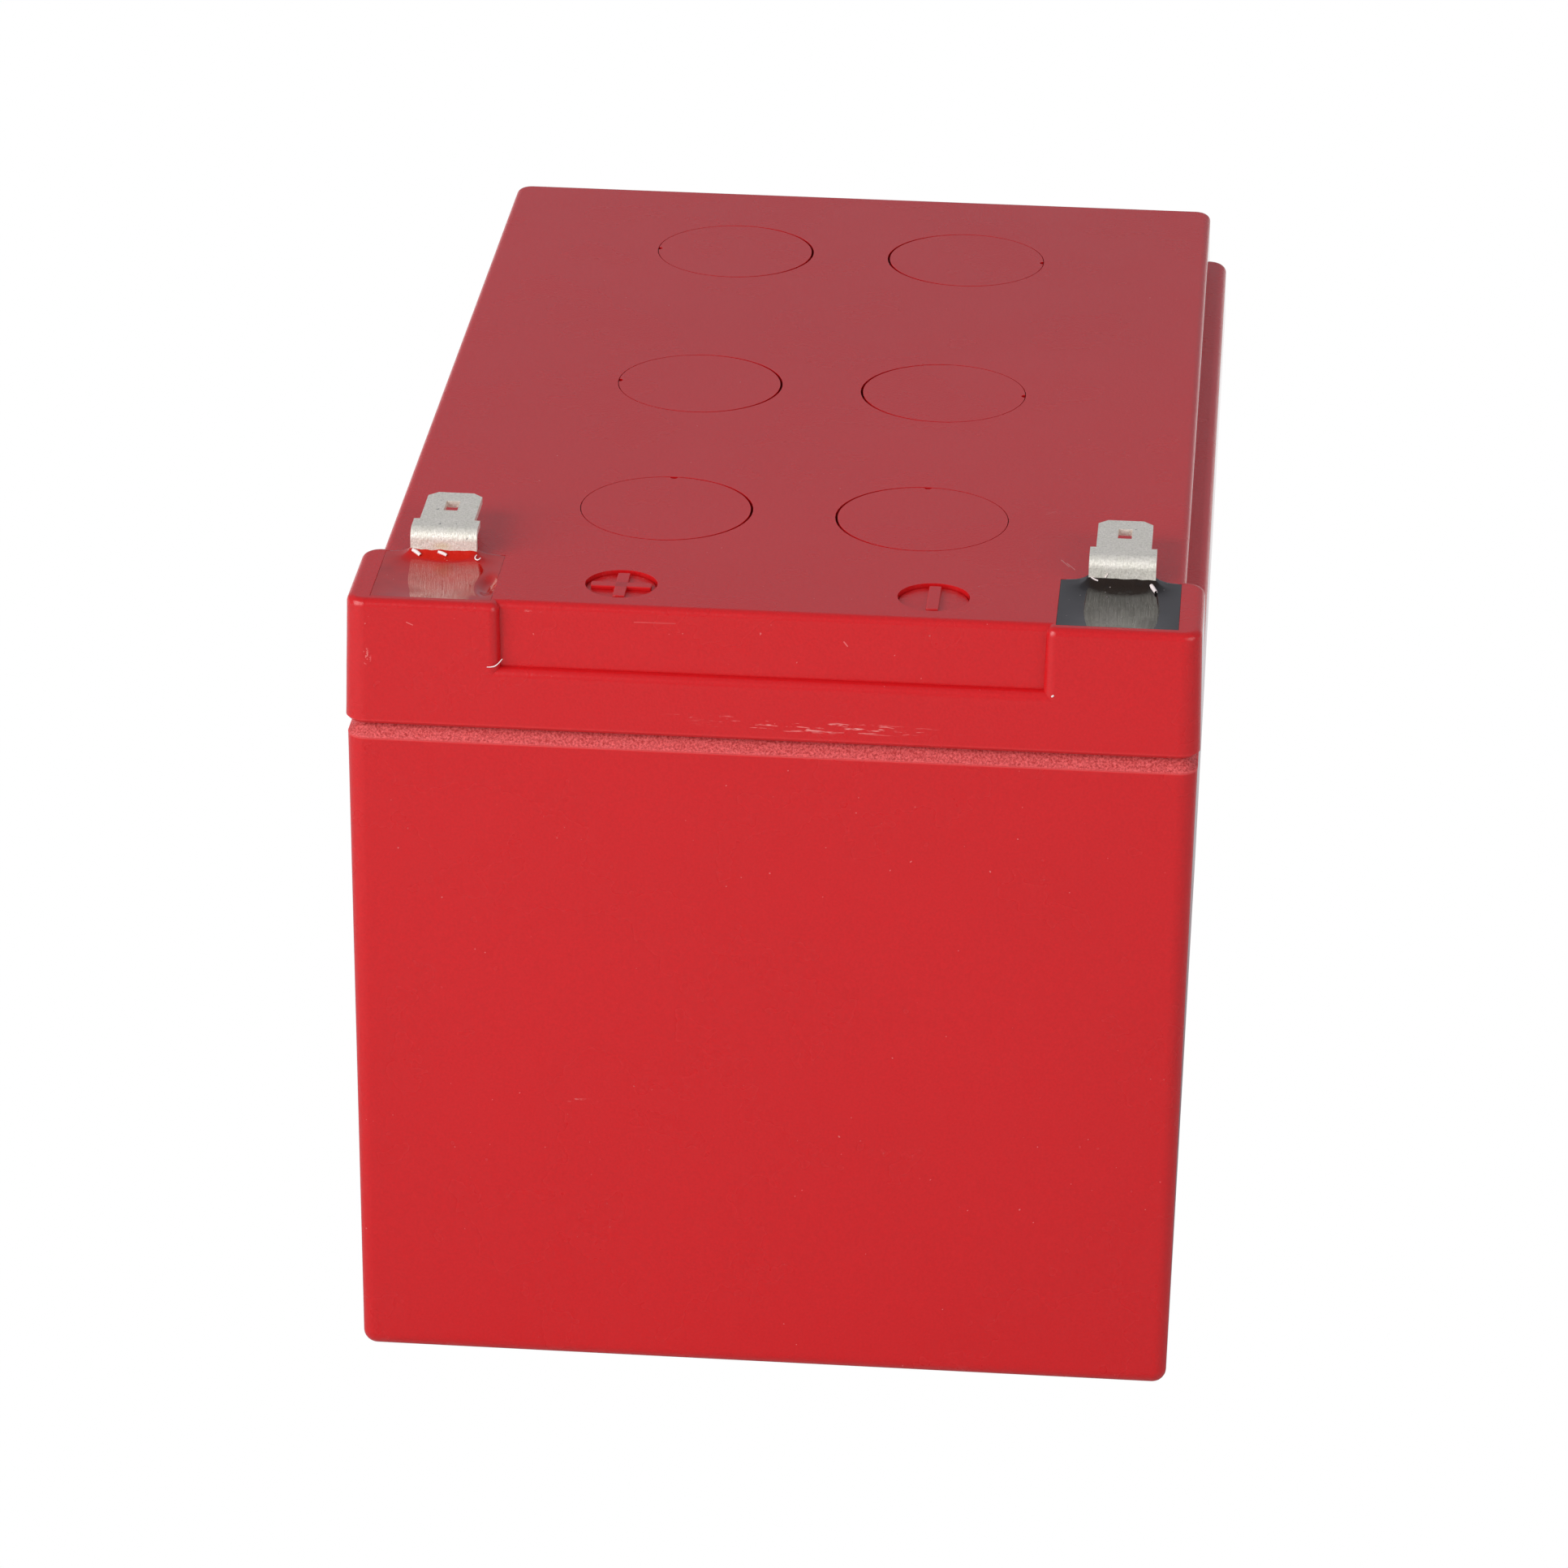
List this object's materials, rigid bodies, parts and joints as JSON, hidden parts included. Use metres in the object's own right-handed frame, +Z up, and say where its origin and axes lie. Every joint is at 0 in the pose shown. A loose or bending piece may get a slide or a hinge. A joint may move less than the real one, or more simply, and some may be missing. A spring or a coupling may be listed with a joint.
{
  "type": "sealed lead acid battery",
  "caption": "Rectangular sealed lead acid battery with a stepped lid, sealed vent covers and a blade terminal set in resin at each front corner.",
  "frame": {"origin": "middle of the underside of the case, at the centre of the outline in plan", "axes": "+Z up, +Y from the terminal end towards the back along the length, +X to the right as seen from the terminal end"},
  "size_m": [0.098, 0.151, 0.1003],
  "materials": {
    "case_plastic": "moulded red plastic, low gloss",
    "lid_plastic": "moulded red plastic, low gloss",
    "cover_plastic": "moulded red plastic, low gloss",
    "adhesive": "cured adhesive",
    "valve_rubber": "matt",
    "tinned_brass": "tin plated, satin",
    "red_resin": "cast resin, glossy",
    "black_resin": "cast resin, glossy",
    "lead": "cast lead, dull",
    "positive_paste": "lead dioxide paste on a lead grid, matt",
    "negative_paste": "sponge lead paste on a lead grid, matt",
    "glass_mat": "absorbent glass mat"
  },
  "bodies": {
    "root": {"case": "case_plastic", "lid": "lid_plastic", "lid_adhesive": "adhesive", "vent_cover_left_1": "cover_plastic", "vent_cover_left_2": "cover_plastic", "vent_cover_left_3": "cover_plastic", "vent_cover_right_1": "cover_plastic", "vent_cover_right_2": "cover_plastic", "vent_cover_right_3": "cover_plastic", "valve_cap_left_1": "valve_rubber", "valve_cap_left_2": "valve_rubber", "valve_cap_left_3": "valve_rubber", "valve_cap_right_1": "valve_rubber", "valve_cap_right_2": "valve_rubber", "valve_cap_right_3": "valve_rubber", "terminal_positive": "tinned_brass", "terminal_resin_positive": "red_resin", "terminal_strap_positive": "lead", "terminal_negative": "tinned_brass", "terminal_resin_negative": "black_resin", "terminal_strap_negative": "lead", "cell_link_1": "lead", "cell_link_2": "lead", "cell_link_3": "lead", "cell_link_4": "lead", "cell_link_5": "lead", "positive_plates_left_1": "positive_paste", "positive_plates_left_2": "positive_paste", "positive_plates_left_3": "positive_paste", "positive_plates_right_1": "positive_paste", "positive_plates_right_2": "positive_paste", "positive_plates_right_3": "positive_paste", "negative_plates_left_1": "negative_paste", "negative_plates_left_2": "negative_paste", "negative_plates_left_3": "negative_paste", "negative_plates_right_1": "negative_paste", "negative_plates_right_2": "negative_paste", "negative_plates_right_3": "negative_paste", "separators_left_1": "glass_mat", "separators_left_2": "glass_mat", "separators_left_3": "glass_mat", "separators_right_1": "glass_mat", "separators_right_2": "glass_mat", "separators_right_3": "glass_mat"}
  },
  "joints": []
}
